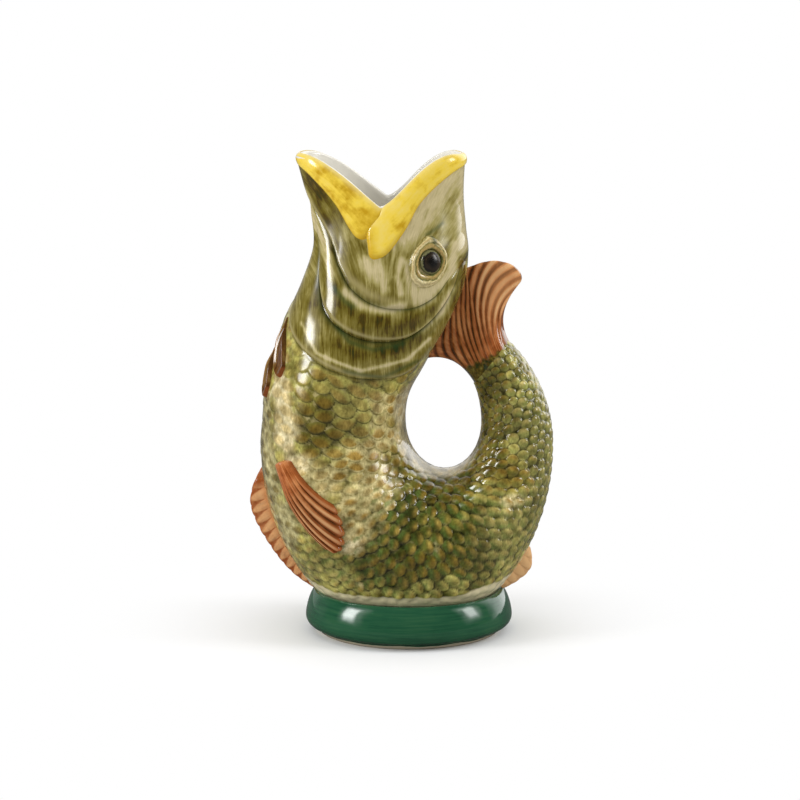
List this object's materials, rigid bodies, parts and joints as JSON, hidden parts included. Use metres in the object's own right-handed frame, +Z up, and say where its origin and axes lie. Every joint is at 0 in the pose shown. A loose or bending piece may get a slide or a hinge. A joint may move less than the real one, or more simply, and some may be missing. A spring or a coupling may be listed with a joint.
{
  "type": "gurgle jug",
  "caption": "Glazed pottery jug in the form of an upright fish: open mouth as spout, hollow body on a round foot, tail curled up to the head as the handle.",
  "frame": {"origin": "on the table, under the middle of the jug's length and width", "axes": "+Z up, from the foot to the mouth; -X from the tail to the breast; -Y to the fish's left side"},
  "size_m": [0.1535, 0.104, 0.2421],
  "materials": {
    "foot_glaze": "gloss",
    "scale_glaze": "gloss",
    "head_glaze": "gloss",
    "lip_glaze": "gloss",
    "fin_glaze": "gloss",
    "throat_fin_glaze": "gloss",
    "socket_glaze": "gloss",
    "eye_glaze": "gloss"
  },
  "bodies": {
    "root": {"foot": "foot_glaze", "belly_shell": "scale_glaze", "head_shell": "head_glaze", "tail_shell": "scale_glaze", "tail_fin": "fin_glaze", "lower_lip": "lip_glaze", "upper_lip": "lip_glaze", "left_gill_cover": "head_glaze", "right_gill_cover": "head_glaze", "left_cheek": "head_glaze", "right_cheek": "head_glaze", "left_eye_socket": "socket_glaze", "right_eye_socket": "socket_glaze", "left_eye": "eye_glaze", "right_eye": "eye_glaze", "left_throat_fin": "throat_fin_glaze", "right_throat_fin": "throat_fin_glaze", "left_breast_fin": "throat_fin_glaze", "right_breast_fin": "throat_fin_glaze", "left_side_fin": "fin_glaze", "right_side_fin": "fin_glaze", "front_fin": "fin_glaze", "rear_fin": "fin_glaze"}
  },
  "joints": []
}
